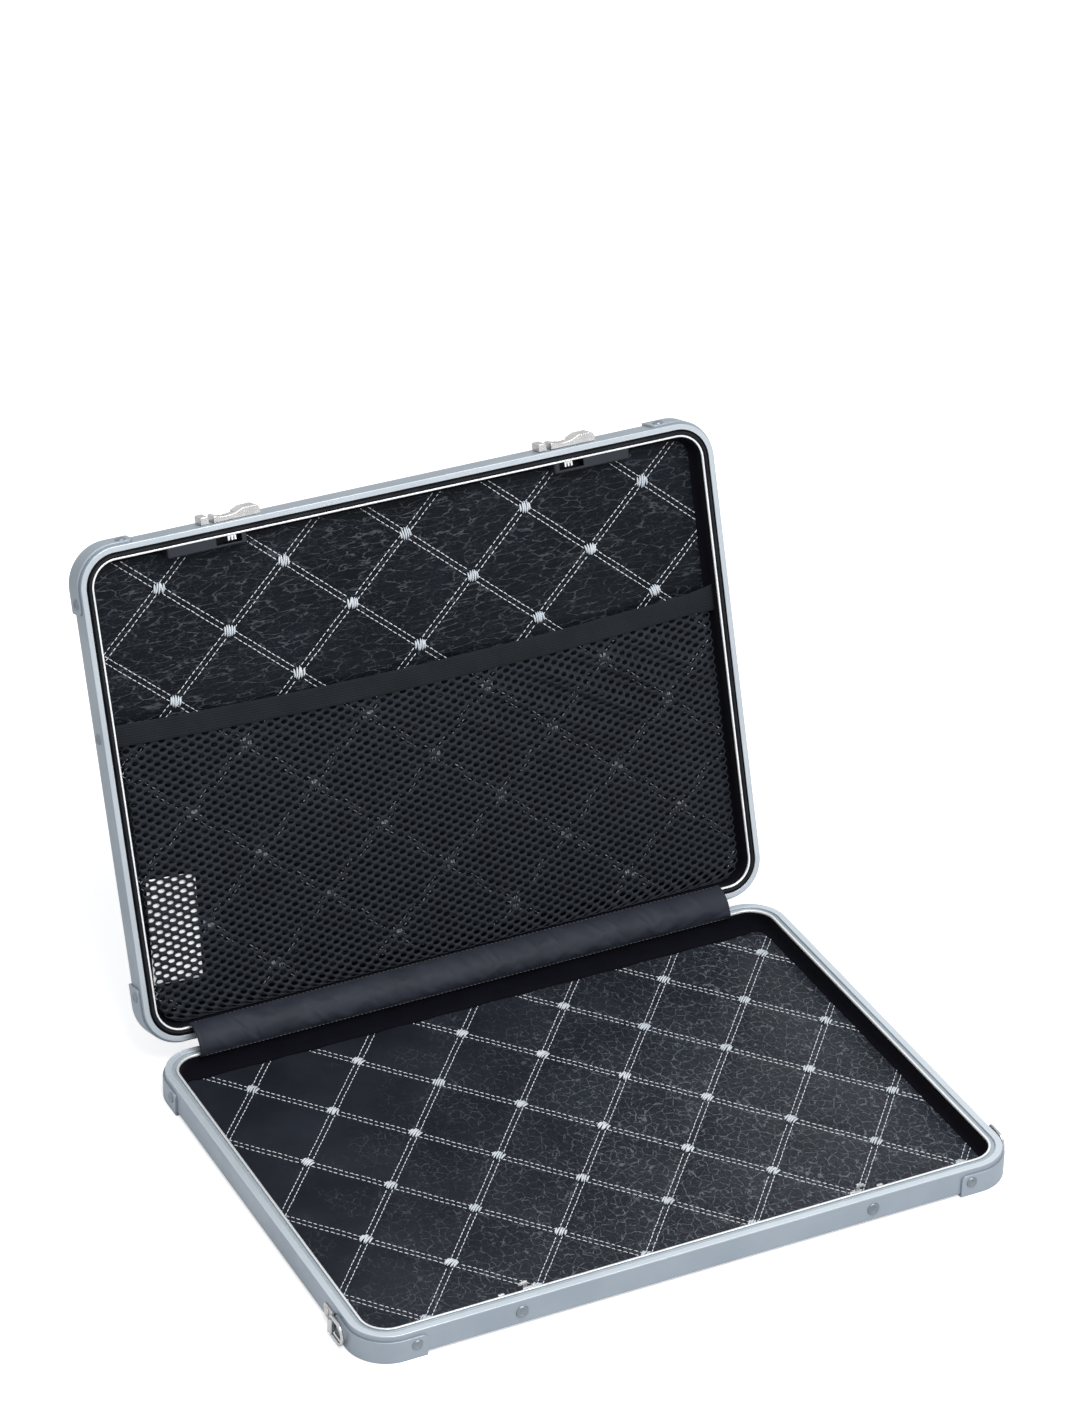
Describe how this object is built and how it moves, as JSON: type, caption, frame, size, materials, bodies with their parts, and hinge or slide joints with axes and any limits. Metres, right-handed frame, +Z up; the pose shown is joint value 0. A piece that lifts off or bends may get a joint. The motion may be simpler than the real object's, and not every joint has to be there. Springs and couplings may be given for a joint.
{
  "type": "laptop hard case",
  "caption": "Slim hard laptop case with an aluminium frame, a hinged lid, thumb latches, quilted lining, a mesh pocket and strap rings, standing open.",
  "frame": {"origin": "on the surface that the case stands on, under the middle of the open case's overall box", "axes": "+X to the right seen from the front, along the latches' wall; +Y from the front wall to the hinges; +Z up. The rest pose has the lid open at its stop"},
  "size_m": [0.3956, 0.3892, 0.2924],
  "materials": {
    "aluminium_frame": "satin anodised",
    "aluminium_sheet": "satin anodised sheet",
    "nickel": "satin nickel plate",
    "bolt_steel": "bright",
    "dark_plastic": "moulded, fine grain",
    "leatherette": "quilted leatherette with white stitching",
    "embroidery": "embroidered thread",
    "velvet": "velvet",
    "cover_cloth": "satin nylon",
    "elastic": "ribbed elastic",
    "mesh": "knitted net",
    "label_cloth": "plain woven",
    "seal_rubber": "matte"
  },
  "bodies": {
    "base": {"base_frame": "aluminium_frame", "base_panel": "aluminium_sheet", "base_quilted_lining": "leatherette", "base_tufts": "embroidery", "base_side_lining": "velvet", "base_corner_rivets": "nickel", "keeper_left": "nickel", "keeper_right": "nickel", "keeper_rivets": "nickel", "ring_clip_left": "nickel", "ring_clip_right": "nickel", "ring_clip_rivets": "nickel", "base_hinge_leaves": "nickel", "hinge_pins": "nickel", "base_hinge_rivets": "nickel", "hinge_cover": "cover_cloth", "base_corner_cap_front_left": "nickel", "base_corner_cap_front_right": "nickel", "base_corner_cap_back_left": "nickel", "base_corner_cap_back_right": "nickel"},
    "lid": {"lid_frame": "aluminium_frame", "lid_seal": "seal_rubber", "lid_panel": "aluminium_sheet", "lid_quilted_lining": "leatherette", "lid_tufts": "embroidery", "lid_side_lining": "velvet", "lid_corner_rivets": "nickel", "band_rivets": "nickel", "elastic_band": "elastic", "mesh_pocket": "mesh", "blank_label": "label_cloth", "lid_hinge_leaves": "nickel", "lid_hinge_rivets": "nickel", "latch_housing_left": "dark_plastic", "latch_housing_right": "dark_plastic", "latch_block_left": "nickel", "latch_block_right": "nickel", "lid_corner_cap_front_left": "nickel", "lid_corner_cap_front_right": "nickel", "lid_corner_cap_back_left": "nickel", "lid_corner_cap_back_right": "nickel"},
    "latch_left": {"latch_slider_left": "nickel", "latch_bolt_left": "bolt_steel"},
    "latch_right": {"latch_slider_right": "nickel", "latch_bolt_right": "bolt_steel"},
    "ring_left": {"strap_ring_left": "nickel"},
    "ring_right": {"strap_ring_right": "nickel"}
  },
  "joints": [
    {"name": "lid_hinge", "type": "hinge", "parent": "base", "child": "lid", "pos_m": [0, 0.09193, 0.01685], "axis": [1, 0, 0], "range_deg": [0, 107.7], "deforming": ["hinge_cover"]},
    {"name": "latch_left_slide", "type": "slide", "parent": "lid", "child": "latch_left", "axis": [-1, 0, 0], "range_m": [0, 0.0028], "stiffness_N_per_m": 300, "springref_m": -0.004},
    {"name": "latch_right_slide", "type": "slide", "parent": "lid", "child": "latch_right", "axis": [1, 0, 0], "range_m": [0, 0.0028], "stiffness_N_per_m": 300, "springref_m": -0.004},
    {"name": "strap_ring_left_swing", "type": "hinge", "parent": "base", "child": "ring_left", "pos_m": [-0.1959, -0.15807, 0.0075], "axis": [0, 0, -1], "range_deg": [-4, 165]},
    {"name": "strap_ring_right_swing", "type": "hinge", "parent": "base", "child": "ring_right", "pos_m": [0.1959, -0.15807, 0.0075], "axis": [0, 0, 1], "range_deg": [-4, 165]}
  ]
}
